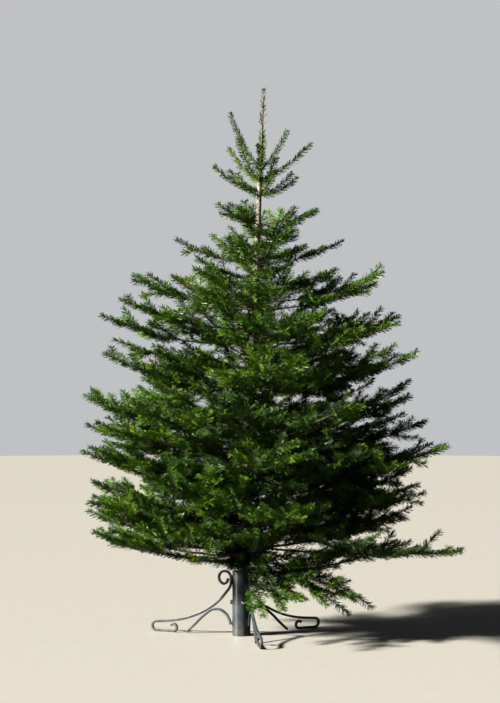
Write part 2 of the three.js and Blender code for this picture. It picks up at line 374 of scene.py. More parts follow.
def eased(points, cuts):
    """A smooth line through the points, with some steps from each to the next."""
    ends = [points[0]] + list(points) + [points[-1]]
    line = []
    for before, start, end, after in zip(ends, ends[1:], ends[2:], ends[3:]):
        before, start, end, after = (Vector(p) for p in (before, start, end, after))
        for i in range(cuts):
            t = i / cuts
            line.append(
                0.5
                * (
                    2 * start
                    + (end - before) * t
                    + (2 * before - 5 * start + 4 * end - after) * t * t
                    + (3 * start - before - 3 * end + after) * t ** 3
                )
            )
    return line + [Vector(points[-1])]


def bend_bar(bm, line, side):
    """Sweeps a square bar with rounded edges along a line of (out, up) points, side from the middle."""
    section = bmesh.ops.create_circle(bm, cap_ends=True, segments=4, radius=BAR / math.sqrt(2))["verts"]
    bmesh.ops.rotate(bm, verts=section, cent=(0, 0, 0), matrix=Matrix.Rotation(math.pi / 4, 3, "Z"))
    bmesh.ops.bevel(
        bm, geom=section, offset=BAR_ROUND, segments=2, profile=0.5, affect="VERTICES", material=-1
    )
    face = max(bm.faces, key=lambda f: len(f.verts))
    tilts = []
    for i in range(len(line)):
        ahead = line[min(i + 1, len(line) - 1)] - line[max(i - 1, 0)]
        tilts.append(math.atan2(ahead.x, ahead.y))
    places = [
        Matrix.Translation((point.x, side, point.y)) @ Matrix.Rotation(tilt, 4, "Y")
        for point, tilt in zip(line, tilts)
    ]
    bmesh.ops.transform(bm, matrix=places[0], verts=face.verts)
    for before, after in zip(places, places[1:]):
        grown = bmesh.ops.extrude_face_region(bm, geom=[face])["geom"]
        if before is not places[0]:
            bmesh.ops.delete(bm, geom=[face], context="FACES_ONLY")
        face = next(g for g in grown if isinstance(g, bmesh.types.BMFace))
        bmesh.ops.transform(bm, matrix=after @ before.inverted(), verts=face.verts)
    bmesh.ops.recalc_face_normals(bm, faces=bm.faces)


def weld_bead(bm, places, radius):
    """A row of small lumps of weld, run one over the other."""
    for x, y, z in places:
        lump = bmesh.ops.create_icosphere(bm, subdivisions=2, radius=radius)["verts"]
        bmesh.ops.scale(bm, verts=lump, vec=(0.8, 0.8, 1.3))
        bmesh.ops.translate(bm, verts=lump, vec=(x, y, z))


leg_line = eased(
    arc(SCROLL_OUT, SCROLL_HEIGHT, SCROLL_END_RADIUS, SCROLL_RADIUS, -165, -80, 4)
    + arc(SCROLL_OUT, SCROLL_HEIGHT, SCROLL_RADIUS, SCROLL_RADIUS, -55, 180, 10)
    + SWEEP
    + arc(LEG_REACH - FOOT_BEND, BAR / 2 + FOOT_BEND, FOOT_BEND, FOOT_BEND, 90, -90, 6)
    + [(FOOT_FLAT_OUT, BAR / 2)]
    + arc(FOOT_CURL_OUT, BAR / 2 + FOOT_CURL, FOOT_CURL, FOOT_CURL, -90, -320, 8),
    4,
)
brace_line = eased(BRACE, 6)
for number, heading in enumerate(LEG_HEADINGS, 1):
    turn = Matrix.Rotation(heading, 4, "Z")
    for kind, line in (("leg", leg_line), ("brace", brace_line)):
        bead_from, bead_to = BEAD_SPANS[kind]
        bar = bmesh.new()
        bend_bar(bar, line, LEG_OFFSET)
        beads = [(*BEAD_PLACE, bead_from + (bead_to - bead_from) * i / 9) for i in range(10)]
        weld_bead(bar, beads, BEAD_RADIUS)
        bmesh.ops.transform(bar, matrix=turn, verts=bar.verts)
        name = f"{kind}_bar_{number}"
        add_piece(name, mesh_of(bar, name), iron, "iron_paint", f"{kind}_{number}")

# The trunk: one leaning fir stem, from the flat saw cut in the tube to the tip of its leader.
# Thin grey-brown bark with resin blisters and shallow cracks, a collar under each whorl of boughs,
# and the reddish brown bark of the last year's growth on the leader.
trunk_points = [v.co.copy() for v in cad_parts["trunk"].data.vertices]
lowest = min(p.z for p in trunk_points)
butt_points = [p for p in trunk_points if p.z < lowest + 0.01]
BUTT = sum(butt_points, Vector()) / len(butt_points)
TIP = max(trunk_points, key=lambda p: p.z)
AXIS = (TIP - BUTT).normalized()
LEADER_BASE = 1.975
LEADER_BARK = (0.15, 0.085, 0.045, 1)
TRUNK_SIDES = 36
TRUNK_STEP = 0.006
UP = Vector((0, 0, 1))


def trunk_at(height):
    """The middle of the trunk at a height above the ground."""
    return BUTT + AXIS * ((height - BUTT.z) / AXIS.z)


def away_from_trunk(point):
    """How far a point is from the trunk's middle, level."""
    return (point - trunk_at(point.z)).xy.length


rings = sorted(
    ((p - BUTT).dot(AXIS), (p - BUTT).cross(AXIS).length)
    for p in trunk_points
    if (p - BUTT).cross(AXIS).length > 0.001
)
ring_alongs = [along for along, _ in rings]
ring_radii = [radius for _, radius in rings]


def trunk_radius(height):
    """The trunk's radius at a height above the ground."""
    return float(np.interp((height - BUTT.z) / AXIS.z, ring_alongs, ring_radii))


bark_pattern, taken, given_out = new_group(
    "fir bark",
    [
        ("Bark", COLOUR, (0.1, 0.08, 0.06, 1)),
        ("Pale", COLOUR, (0.2, 0.17, 0.14, 1)),
        ("Crack", COLOUR, (0.03, 0.02, 0.015, 1)),
        ("Scale", FLOAT, 30.0),
    ],
    [("Color", COLOUR), ("Roughness", FLOAT), ("Height", FLOAT)],
)
place = add_node(bark_pattern, "ShaderNodeTexCoord").outputs["Object"]
stretched = add_node(bark_pattern, "ShaderNodeMapping", {"Scale": (1.0, 1.0, 0.35)})
bark_pattern.links.new(place, stretched.inputs["Vector"])
plates = add_node(bark_pattern, "ShaderNodeTexVoronoi", feature="DISTANCE_TO_EDGE")
bark_pattern.links.new(stretched.outputs["Vector"], plates.inputs["Vector"])
plate_scale = calculate(bark_pattern, "MULTIPLY", taken.outputs["Scale"], 3.2)
bark_pattern.links.new(plate_scale, plates.inputs["Scale"])
cracks = add_node(bark_pattern, "ShaderNodeMapRange", {"From Min": 0.07, "From Max": 0.0})
bark_pattern.links.new(plates.outputs["Distance"], cracks.inputs["Value"])
lichen = noise_mask(bark_pattern, stretched.outputs["Vector"], taken.outputs["Scale"], 0.38, 0.66, 6.0)
grain_scale = calculate(bark_pattern, "MULTIPLY", taken.outputs["Scale"], 9.0)
grain = noise_mask(bark_pattern, place, grain_scale, 0.25, 0.75, 3.0)
broken = calculate(bark_pattern, "MULTIPLY", cracks.outputs["Result"], grain)
clouded = mix_colours(bark_pattern, lichen, taken.outputs["Bark"], taken.outputs["Pale"])
cracked = mix_colours(bark_pattern, broken, clouded, taken.outputs["Crack"])
bark_pattern.links.new(cracked, given_out.inputs["Color"])
bark_roughness = calculate(bark_pattern, "MULTIPLY_ADD", lichen, 0.14, 0.72)
bark_pattern.links.new(bark_roughness, given_out.inputs["Roughness"])
raised = calculate(bark_pattern, "MULTIPLY_ADD", grain, 0.5, lichen)
raised = calculate(bark_pattern, "MULTIPLY_ADD", broken, -1.2, raised)
bark_pattern.links.new(raised, given_out.inputs["Height"])


def bark_material(name, bark, pale, crack, scale, bump, depth):
    """Bark in three colours; scale is how fine its pattern is."""
    values = {"Bark": bark, "Pale": pale, "Crack": crack, "Scale": scale}
    return new_material(name, bark_pattern, values, bump, depth)


trunk_bark = bark_material(
    "bark of the trunk",
    (0.16, 0.12, 0.095, 1),
    (0.40, 0.34, 0.29, 1),
    (0.05, 0.034, 0.025, 1),
    26.0,
    0.6,
    0.0015,
)
tree = trunk_bark.node_tree
height = add_node(tree, "ShaderNodeSeparateXYZ")
tree.links.new(add_node(tree, "ShaderNodeTexCoord").outputs["Object"], height.inputs["Vector"])
newest = add_node(tree, "ShaderNodeMapRange", {"From Min": LEADER_BASE - 0.07, "From Max": LEADER_BASE})
tree.links.new(height.outputs["Z"], newest.inputs["Value"])
shader = tree.nodes["Principled BSDF"]
older = shader.inputs["Base Color"].links[0].from_socket
tree.links.new(mix_colours(tree, newest.outputs["Result"], older, LEADER_BARK), shader.inputs["Base Color"])

LIMB_CORNERS = 6  # corners at the trunk's end of a limb
mass_names = sorted(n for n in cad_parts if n.startswith("needles_"))
limb_names = sorted(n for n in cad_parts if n.startswith("bough_"))


def bough_line(mass_name):
    """The bough in a mass of needles: its foot, tip, reach, heading and sag, read from the solids."""
    points = [v.co.copy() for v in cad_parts[mass_name].data.vertices]
    tip = max(points, key=away_from_trunk)
    heading = math.atan2(*reversed((tip - trunk_at(tip.z)).xy))
    limb_name = mass_name.replace("needles_", "bough_")
    has_limb = limb_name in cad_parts
    near = [min(points, key=away_from_trunk)]
    if has_limb:
        inner = [v.co.copy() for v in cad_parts[limb_name].data.vertices]
        near = sorted(inner, key=away_from_trunk)[:LIMB_CORNERS]
    attach = sum(p.z for p in near) / len(near)
    foot = trunk_at(attach)
    reach = (tip - foot).xy.length
    halfway = [p.z for p in points if 0.4 < (p - foot).xy.length / reach < 0.6]
    bare = min((p - foot).xy.length for p in points)
    middle = sum(halfway) / len(halfway) + 0.006
    return {
        "whorl": mass_name.split("_")[1],
        "foot": foot,
        "tip": tip,
        "reach": reach,
        "heading": heading,
        "sag": (attach + tip.z) / 2 - middle,
        "bare": bare if has_limb else 0.0,
    }


bough_lines = [bough_line(name) for name in mass_names]
stem = bmesh.new()
stem_length = (TIP - BUTT).length
bmesh.ops.create_cone(
    stem, cap_ends=True, segments=TRUNK_SIDES, radius1=1, radius2=1, depth=stem_length
)
bmesh.ops.translate(stem, verts=stem.verts, vec=(0, 0, stem_length / 2))
uprights = [e for e in stem.edges if abs(e.verts[0].co.z - e.verts[1].co.z) > stem_length / 2]
bmesh.ops.subdivide_edges(stem, edges=uprights, cuts=int(stem_length / TRUNK_STEP), use_grid_fill=True)
whorl_feet = [line["foot"] for line in bough_lines]
tilt = UP.rotation_difference(AXIS).to_matrix().to_4x4()
for v in stem.verts:
    along = v.co.z
    turn = math.atan2(v.co.y, v.co.x)
    point = BUTT + AXIS * along
    radius = trunk_radius(point.z)
    outwards = Vector((math.cos(turn), math.sin(turn), 0))
    blister = noise.noise(Vector((outwards.x * 9, outwards.y * 9, along * 55)))
    fluting = noise.noise(Vector((outwards.x * 2, outwards.y * 2, along * 5)))
    relief = radius * (0.035 * fluting + 0.045 * blister * abs(blister) * 2)
    nearest = min(abs(foot.z - point.z) for foot in whorl_feet)
    collar = 0.0022 * math.exp(-((nearest / 0.022) ** 2)) if point.z < LEADER_BASE else 0.0
    end_round = 0.8 if along > stem_length - 0.004 else 1.0
    v.co = BUTT + tilt.to_3x3() @ (outwards * (radius + relief + collar) * end_round + UP * along)
add_piece("trunk_with_bark", mesh_of(stem, "trunk_with_bark", 60), trunk_bark, "bark", "trunk")

# The growth of the crown: every bough, side shoot and twig, year by year, from one seeded rule.
# At the end of each year's wood a fir sets two side shoots in the plane of the spray, and now and
# then a weak one above or below. Boughs stand in whorls, with others between the whorls. Shoots that
# start deep in the crown get little light, so most of them are short or missing.
YEARS = {
    "top": 1,
    "crown": 2,
    "high": 2,
    "upper": 3,
    "chest": 4,
    "middle": 4,
    "waist": 5,
    "lower": 5,
    "skirt": 5,
    "hem": 5,
    "drooping": 4,
}
SIDE_SHARE = (0.0, 0.78, 0.78, 0.8)  # a side shoot's yearly growth against its parent's
LONGEST_YEARS = (0, 0, 9, 3, 1)  # how many years a shoot of each order goes on growing
SIDE_ANGLE = (math.radians(43), math.radians(57))
OUT_OF_PLANE = math.radians(15)
WEAK_CHANCE = 0.6
WEAK_SHARE = 0.7
LIFT = 0.42  # how strongly a shoot turns up along its length
STEP = 0.027
SHORTEST = 0.03
ROOM = 0.03  # how far wood may pass the solids' box
CROWN_FOOT = 0.375  # no side shoot grows below this, except on hanging boughs and near the trunk
HANGING_FROM = math.radians(274)
HANGING_TO = math.radians(345)
CLEAR_OF_TRUNK = 0.13
LOWEST_WOOD = 0.06
DARK_DEPTH = 0.12  # share of a bough's reach that gets no light
LIT_DEPTH = 0.55  # share from there to full light
GROWTH_IN_SHADE = 0.68  # the share of full growth that a shoot makes without light
GROWTH_BY_LIGHT = 0.32
SAME_SIDE = 0.26  # cosine between headings that count as one side of the crown
YEARLY_GROWTH = 0.155
BETWEEN_CHANCE = 0.6
BETWEEN_SHARE = 0.55
BETWEEN_SPREAD = 0.35
BETWEEN_CROWDING = 1.3  # over 1, more of them stand low on the trunk
BETWEEN_FROM = 0.41
BETWEEN_TO = 1.68
BETWEEN_COUNT = 84
SMALL_FROM = 0.29
SMALL_TO = 1.70
SMALL_COUNT = 100
SMALL_CROWDING = 1.5
# Short leafy shoots round the foot of the trunk, above the tube
FOOT_FROM = 0.30
FOOT_TO = 0.44
FOOT_COUNT = 26
GOLDEN_ANGLE = math.radians(137.5)
TIP_BUD = 0.009  # room for the bud at the leader's tip
# Single shoots round the leader: heading in degrees, height at the trunk, reach and rise in metres
TOP_SHOOTS = [
    (180, 1.951, 0.127, 0.241),
    (196, 1.865, 0.198, 0.103),
    (6, 1.955, 0.112, 0.166),
    (12, 1.852, 0.141, 0.095),
    (342, 1.850, 0.166, 0.070),
    (268, 1.890, 0.055, 0.165),
    (84, 1.940, 0.105, 0.175),
    (62, 1.862, 0.150, 0.105),
    (300, 1.880, 0.135, 0.115),
    (232, 1.850, 0.150, 0.080),
    (150, 1.875, 0.150, 0.085),
]
# Long boughs between the whorls: heading in degrees, height of the tip and reach in metres
OUTER_BOUGHS = [
    (168, 1.468, 0.458),
    (195, 1.405, 0.570),
    (190, 1.241, 0.580),
    (166, 1.153, 0.517),
    (192, 0.888, 0.680),
    (165, 0.724, 0.609),
    (194, 0.657, 0.650),
    (172, 0.514, 0.668),
    (200, 0.451, 0.644),
    (186, 0.440, 0.630),
    (209, 0.470, 0.620),
    (216, 0.430, 0.570),
    (224, 0.490, 0.590),
    (178, 0.580, 0.640),
    (206, 0.580, 0.650),
    (345, 1.530, 0.352),
    (12, 1.480, 0.530),
    (350, 1.312, 0.620),
    (14, 1.131, 0.563),
    (348, 0.934, 0.657),
    (8, 0.896, 0.766),
    (347, 0.644, 0.734),
    (14, 0.522, 0.738),
    (344, 0.413, 0.714),
]
OUTER_CLIMB = math.radians(12)
# Low boughs that hang down in front of the stand: heading in degrees, foot, reach and fall in metres
HANGING_BOUGHS = [
    (276, 0.360, 0.300, 0.215),
    (283, 0.350, 0.360, 0.225),
    (293, 0.370, 0.400, 0.215),
    (304, 0.360, 0.400, 0.175),
    (315, 0.380, 0.470, 0.205),
    (327, 0.370, 0.510, 0.245),
    (337, 0.380, 0.570, 0.235),
]
chance = random.Random(2412)
low_limit = cad_box[0] + Vector((-ROOM, -ROOM, LOWEST_WOOD))
high_limit = cad_box[1] + Vector((ROOM, ROOM, 0))
shoots = []
spray_count = 0
feet_and_reaches = sorted((line["foot"].z, line["reach"]) for line in bough_lines)
tips = sorted((line["tip"].z, line["reach"], line["heading"]) for line in bough_lines)


def crown_reach(height):
    """How far the whorls' boughs go out at a height, from the tips of the two nearest whorls."""
    return float(np.interp(height, [h for h, _ in feet_and_reaches], [r for _, r in feet_and_reaches]))


def crown_edge(height, heading):
    """How far the tips of the whorls' boughs stand out at a height, on the side that the heading gives."""
    near = [(up, reach) for up, reach, turned in tips if math.cos(turned - heading) > SAME_SIDE]
    return float(np.interp(height, [up for up, _ in near], [reach for _, reach in near]))


def light_at(point):
    """How much light reaches a point of the crown, from 0 at the trunk to 1 at the boughs' tips."""
    depth = away_from_trunk(point) / crown_reach(point.z - 0.06)
    return min(1.0, max(0.0, (depth - DARK_DEPTH) / LIT_DEPTH))


def new_spray():
    """A number for a spray: a side branch with all that grows on it, which is dealt one green."""
    global spray_count
    spray_count += 1
    return spray_count


def add_shoot(points, years, order, spray, bare, style):
    """Keep one axis: its points, age, order, spray, the length without needles, and its style."""
    shoot = {"points": points, "years": years, "order": order, "spray": spray, "bare": bare, "style": style}
    shoots.append(shoot)


def has_room(point):
    """Whether a point is in the solids' box, or no more than ROOM outside it, and not too low."""
    out = (point - trunk_at(point.z)).xy
    hanging = HANGING_FROM < math.atan2(out.y, out.x) % math.tau < HANGING_TO
    if point.z < CROWN_FOOT and not hanging and out.length > CLEAR_OF_TRUNK:
        return False
    return all(low <= value <= high for low, value, high in zip(low_limit, point, high_limit))


def side_shoots(points, growth, years, order, spray, bare):
    """The side shoots of an axis: two at the end of each year's wood but the last, and some weak ones
    above, below and half-way along a year's wood."""
    steps = len(points) - 1
    for year in range(years):
        at = round(steps * (year + chance.uniform(0.4, 0.65)) / years)
        if order > 2 or at < 1 or at >= steps or growth * (year + 0.5) < bare:
            continue
        way = (points[at + 1] - points[at - 1]).normalized()
        side = way.cross(UP)
        for turn in (1, -1):
            if chance.random() < BETWEEN_CHANCE * (0.35 + 0.65 * light_at(points[at])):
                angle = chance.uniform(*SIDE_ANGLE)
                out = side * turn + UP * chance.gauss(0, BETWEEN_SPREAD)
                heading = way * math.cos(angle) + out * math.sin(angle)
                yearly = growth * BETWEEN_SHARE * chance.uniform(0.7, 1.1)
                grow(points[at], heading, yearly, 1, order + 1, spray)
    for year in range(1, years):
        at = round(steps * year / years)
        if at < 1 or at >= steps or growth * year < bare:
            continue
        way = (points[at + 1] - points[at - 1]).normalized()
        side = way.cross(UP)
        side = side.normalized() if side.length > 0.3 else way.orthogonal().normalized()
        over = side.cross(way)
        light = light_at(points[at])
        left = min(years - year, LONGEST_YEARS[order + 1])
        for turn in (1, -1):
            if order > 1 and chance.random() > 0.3 + 0.7 * light:
                continue
            yearly = growth * SIDE_SHARE[order] * chance.uniform(0.82, 1.1)
            yearly *= GROWTH_IN_SHADE + GROWTH_BY_LIGHT * light
            angle = chance.uniform(*SIDE_ANGLE)
            tilt_out = chance.gauss(0, OUT_OF_PLANE)
            out = side * turn * math.cos(tilt_out) + over * math.sin(tilt_out)
            heading = way * math.cos(angle) + out * math.sin(angle)
            grow(points[at], heading, yearly, left, order + 1, spray)
        if chance.random() < WEAK_CHANCE * light:
            turn = chance.choice((1, -1))
            out = side * turn * 0.5 + over * chance.choice((0.87, 0.87, -0.87))
            heading = way * 0.75 + out * 0.66
            grow(points[at], heading, growth * WEAK_SHARE, 1 + (left > 2), min(order + 2, 4), spray)


def grow(start, heading, growth, years, order, spray):
    """One side axis and all its side shoots. growth is the length that it makes in a year."""
    length = growth * years
    if length < SHORTEST:
        return
    steps = max(2, round(length / STEP))
    way = heading.normalized()
    points = [start]
    curl = chance.uniform(-0.2, 0.2) / steps
    for _ in range(steps):
        across = way.cross(UP)
        lift = LIFT * min(1.0, length / 0.12) * (1 - max(0.0, way.z)) / steps
        way = (way + UP * lift + across * curl).normalized()
        wobble = Vector((chance.gauss(0, 1), chance.gauss(0, 1), chance.gauss(0, 1))) * 0.03
        point = points[-1] + (way + wobble) * (length / steps)
        if not has_room(point):
            break
        points.append(point)
    if len(points) < 3:
        return
    if order == 2:
        spray = new_spray()
    add_shoot(points, years, order, spray, 0.0, "spray")
    if order + 1 < len(LONGEST_YEARS) and years > 1 and len(points) == steps + 1:
        side_shoots(points, growth, years, order, spray, 0.0)


def grow_bough(foot, heading, reach, rise, sag, years, bare, style):
    """A bough from the trunk's bark to its tip, with its side shoots."""
    level = Vector((math.cos(heading), math.sin(heading), 0))
    length = math.hypot(reach, rise)
    steps = max(4, round(length / STEP))
    first = trunk_radius(foot.z) * 0.5 / reach
    points = []
    sway = Vector((-level.y, level.x, 0)) * chance.uniform(-0.03, 0.03) * reach
    for i in range(steps + 1):
        share = first + (1 - first) * i / steps
        up = rise * share - 4 * sag * share * (1 - share)
        points.append(foot + level * reach * share + UP * up + sway * math.sin(math.pi * share))
    spray = new_spray()
    add_shoot(points, years, 1, spray, bare, style)
    if style != "top":
        side_shoots(points, length / years, years, 1, spray, bare * 0.9)


for line in bough_lines:
    foot, tip = line["foot"], line["tip"]
    years = YEARS[line["whorl"]]
    style = "top" if years == 1 else "spray"
    grow_bough(foot, line["heading"], line["reach"], tip.z - foot.z, line["sag"], years, line["bare"], style)
for heading, up, reach, rise in TOP_SHOOTS:
    grow_bough(trunk_at(up), math.radians(heading), reach, rise, 0.022, 1, 0.0, "top")
for heading, up, reach in OUTER_BOUGHS:
    rise = reach * math.tan(OUTER_CLIMB)
    years = max(2, round(reach / YEARLY_GROWTH))
    grow_bough(trunk_at(up - rise), math.radians(heading), reach, rise, 0.05 * reach, years, 0.02, "spray")
for heading, up, reach, fall in HANGING_BOUGHS:
    grow_bough(trunk_at(up), math.radians(heading), reach, -fall, -0.025, 3, 0.03, "spray")
for i in range(BETWEEN_COUNT):
    share = ((i + chance.random()) / BETWEEN_COUNT) ** BETWEEN_CROWDING
    up = BETWEEN_FROM + (BETWEEN_TO - BETWEEN_FROM) * share
    heading = GOLDEN_ANGLE * i
    climb = math.radians(6 + 30 * share + chance.uniform(-7, 7))
    edge = crown_edge(up + crown_edge(up, heading) * math.tan(climb), heading)
    reach = edge * chance.uniform(0.5, 1.0)
    rise = reach * math.tan(climb)
    years = max(2, round(reach / YEARLY_GROWTH))
    grow_bough(trunk_at(up), heading, reach, rise, 0.07 * reach, years, 0.02, "spray")
for i in range(SMALL_COUNT):
    share = ((i + chance.random()) / SMALL_COUNT) ** SMALL_CROWDING
    up = SMALL_FROM + (SMALL_TO - SMALL_FROM) * share
    reach = min(chance.uniform(0.1, 0.3), 0.75 * crown_reach(up))
    rise = reach * math.tan(math.radians(chance.uniform(10, 50)))
    grow_bough(trunk_at(up), GOLDEN_ANGLE * (i + 0.5), reach, rise, 0.08 * reach, 2, 0.0, "small")
for i in range(FOOT_COUNT):
    up = FOOT_FROM + (FOOT_TO - FOOT_FROM) * chance.random()
    reach = chance.uniform(0.07, 0.15)
    rise = reach * math.tan(math.radians(chance.uniform(-35, 35)))
    grow_bough(trunk_at(up), GOLDEN_ANGLE * i, reach, rise, 0.05 * reach, 2, 0.0, "small")
leader_top = TIP.z - TIP_BUD
leader_points = [trunk_at(LEADER_BASE + (leader_top - LEADER_BASE) * i / 12) for i in range(13)]
add_shoot(leader_points, 1, 0, new_spray(), 0.0, "leader")

# The boughs' wood: one limb for each bough, thick at the trunk and thin at its tip.
# Its bark is the trunk's, a little browner, with a swelling where each limb leaves the trunk.
BOUGH_SIDES = 8
END_RADIUS = 0.0011
YEAR_RADIUS = 0.0010
TWIG_YEAR_RADIUS = 0.00055
SWELLING = 1.5
BARK_UNEVEN = 0.0009
bough_bark = bark_material(
    "bark of the boughs",
    (0.075, 0.052, 0.035, 1),
    (0.14, 0.105, 0.075, 1),
    (0.03, 0.02, 0.014, 1),
    40.0,
    0.5,
    0.001,
)


def wood_radius(shoot, share):
    """The radius of a shoot at a share of its length."""
    thick = END_RADIUS + (YEAR_RADIUS if shoot["order"] == 1 else TWIG_YEAR_RADIUS) * (shoot["years"] - 0.4)
    return END_RADIUS * 0.8 + (thick - END_RADIUS * 0.8) * (1 - share) ** 0.8


def sweep_limb(bm, shoot):
    """One limb as a ring of sides carried along the shoot's line, shrinking to a bud."""
    points = shoot["points"]
    last = len(points) - 1
    ring = bmesh.ops.create_circle(bm, cap_ends=True, segments=BOUGH_SIDES, radius=1)["verts"]
    face = ring[0].link_faces[0]
    place = Matrix.Identity(4)
    turned = UP
    frame_turn = Matrix.Identity(3)
    for i, point in enumerate(points):
        way = (points[min(i + 1, last)] - points[max(i - 1, 0)]).normalized()
        frame_turn = turned.rotation_difference(way).to_matrix() @ frame_turn
        turned = way
        radius = wood_radius(shoot, i / last)
        if i == 0:
            radius *= SWELLING
        after = Matrix.Translation(point) @ frame_turn.to_4x4() @ Matrix.Diagonal((radius, radius, radius, 1))
        if i > 0:
            grown = bmesh.ops.extrude_face_region(bm, geom=[face])["geom"]
            if i > 1:
                bmesh.ops.delete(bm, geom=[face], context="FACES_ONLY")
            face = next(g for g in grown if isinstance(g, bmesh.types.BMFace))
        bmesh.ops.transform(bm, matrix=after @ place.inverted(), verts=face.verts)
        place = after


limbs = bmesh.new()
for shoot in shoots:
    if shoot["order"] == 1:
        one = bmesh.new()
        sweep_limb(one, shoot)
        bmesh.ops.recalc_face_normals(one, faces=one.faces)
        for v in one.verts:
            v.co += v.normal * BARK_UNEVEN * noise.noise(v.co * 60)
        part = bpy.data.meshes.new("one limb")
        one.to_mesh(part)
        one.free()
        limbs.from_mesh(part)
        bpy.data.meshes.remove(part)
add_piece("boughs_with_bark", mesh_of(limbs, "boughs_with_bark", 60), bough_bark, "bark", *limb_names)

# The twigs: all the side shoots' wood, as thin tapering tubes closed at both ends.
# Wood of the last two years is yellowish brown and smooth; older wood is grey-brown.
old_twig_bark = bark_material(
    "bark of old twigs",
    (0.065, 0.042, 0.025, 1),
    (0.11, 0.078, 0.05, 1),
    (0.03, 0.018, 0.011, 1),
    70.0,
    0.4,
    0.0005,
)
young_twig_bark = bark_material(
    "bark of young twigs",
    (0.070, 0.058, 0.016, 1),
    (0.12, 0.10, 0.03, 1),
    (0.04, 0.03, 0.010, 1),
    90.0,
    0.3,
    0.0004,
)


def mesh_from_arrays(name, points, quads, triangles, smooth):
    """One mesh from joined arrays of points and of the faces' corners."""
    mesh = bpy.data.meshes.new(name)
    mesh.vertices.add(len(points))
    mesh.vertices.foreach_set("co", np.asarray(points, np.float32).ravel())
    corners = np.concatenate([quads.ravel(), triangles.ravel()]).astype(np.int32)
    mesh.loops.add(len(corners))
    mesh.loops.foreach_set("vertex_index", corners)
    starts = np.concatenate([np.arange(len(quads)) * 4, quads.size + np.arange(len(triangles)) * 3])
    mesh.polygons.add(len(starts))
    mesh.polygons.foreach_set("loop_start", starts.astype(np.int32))
    mesh.polygons.foreach_set("use_smooth", np.full(len(starts), smooth))
    mesh.update(calc_edges=True)
    return mesh


def tubes(name, chosen):
    """The chosen shoots as tapering tubes in one mesh: five sides on older wood, three on young."""
    points, quads, triangles, count = [], [], [], 0
    for shoot in chosen:
        line = np.array([tuple(p) for p in shoot["points"]])
        sides = 5 if shoot["years"] > 3 else 3
        way = np.gradient(line, axis=0)
        way /= np.linalg.norm(way, axis=1)[:, None]
        side = np.cross(way, (0.13, 0.21, 0.97))
        side /= np.linalg.norm(side, axis=1)[:, None]
        over = np.cross(side, way)
        radii = np.array([wood_radius(shoot, share) for share in np.linspace(0, 1, len(line))])
        turns = np.arange(sides) * math.tau / sides
        ring = np.cos(turns)[None, :, None] * side[:, None, :]
        ring = ring + np.sin(turns)[None, :, None] * over[:, None, :]
        points.append((line[:, None, :] + ring * radii[:, None, None]).reshape(-1, 3))
        here = count + np.arange((len(line) - 1) * sides).reshape(-1, sides)
        beside = np.roll(here, -1, axis=1)
        quads.append(np.stack([here, here + sides, beside + sides, beside], axis=-1).reshape(-1, 4))
        foot = count + np.arange(sides)
        end = foot + (len(line) - 1) * sides
        for k in range(1, sides - 1):
            triangles.append([foot[0], foot[k], foot[k + 1]])
            triangles.append([end[0], end[k + 1], end[k]])
        count += len(line) * sides
    return mesh_from_arrays(name, np.concatenate(points), np.concatenate(quads), np.array(triangles), True)


old_wood = [s for s in shoots if s["order"] > 1 and s["years"] > 2]
young_wood = [s for s in shoots if s["order"] > 1 and s["years"] <= 2]
add_piece("twigs_old", tubes("twigs_old", old_wood), old_twig_bark, "bark")
add_piece("twigs_young", tubes("twigs_young", young_wood), young_twig_bark, "bark")

# The buds: brown, resinous winter buds at the end of every shoot, one large between two small.
# Each is a four-sided spindle of scales, set in the last needles.
BUD_LENGTH = 0.0062
BUD_RADIUS = 0.0019
BUD_SIDES = 4
BUD_GLOSS = 0.3  # a coat of resin
LEADER_BUD = 2.2  # sizes against an ordinary bud
MAIN_BUD = 1.1
SMALL_BUD = 0.8
bud_scales = bark_material(
    "bud scales",
    (0.075, 0.038, 0.018, 1),
    (0.13, 0.08, 0.04, 1),
    (0.04, 0.02, 0.01, 1),
    120.0,
    0.4,
    0.0003,
)
bud_scales.node_tree.nodes["Principled BSDF"].inputs["Coat Weight"].default_value = BUD_GLOSS
draw = np.random.default_rng(77)


def unit(vectors):
    """Every row at a length of one."""
    return vectors / np.maximum(np.linalg.norm(vectors, axis=1), 1e-9)[:, None]


ends, ways, sizes = [], [], []
for shoot in shoots:
    end = np.array(shoot["points"][-1])
    way = end - np.array(shoot["points"][-2])
    way /= np.linalg.norm(way)
    side = np.cross(way, (0, 0.05, 1))
    side /= np.linalg.norm(side)
    size = MAIN_BUD if shoot["order"] < 3 else SMALL_BUD
    if shoot["style"] == "leader":
        size = LEADER_BUD
    ends.append(end)
    ways.append(way)
    sizes.append(size)
    if shoot["order"] < 3:
        for turn in (1, -1):
            ends.append(end - way * 0.001 + side * turn * 0.0012)
            ways.append(way * 0.72 + side * turn * 0.69)
            sizes.append(size * 0.75)
ends, ways, sizes = np.array(ends), unit(np.array(ways)), np.array(sizes)[:, None]
side = unit(np.cross(ways, (0.3, 0.2, 0.93)))
over = np.cross(side, ways)
belt = ends + ways * BUD_LENGTH * 0.4 * sizes
corners = [ends]
for k in range(BUD_SIDES):
    turn = math.tau * k / BUD_SIDES
    corners.append(belt + (side * math.cos(turn) + over * math.sin(turn)) * BUD_RADIUS * sizes)
corners.append(ends + ways * BUD_LENGTH * sizes)
bud_points = np.stack(corners, axis=1).reshape(-1, 3)
first = np.arange(len(ends))[:, None] * (BUD_SIDES + 2)
faces = []
for k in range(BUD_SIDES):
    a, b = 1 + k, 1 + (k + 1) % BUD_SIDES
    faces.append(first + np.array([[0, a, b]]))
    faces.append(first + np.array([[BUD_SIDES + 1, b, a]]))
bud_faces = np.concatenate(faces)
bud_mesh = mesh_from_arrays("buds", bud_points, np.zeros((0, 4), int), bud_faces, True)
add_piece("buds", bud_mesh, bud_scales, "bark")

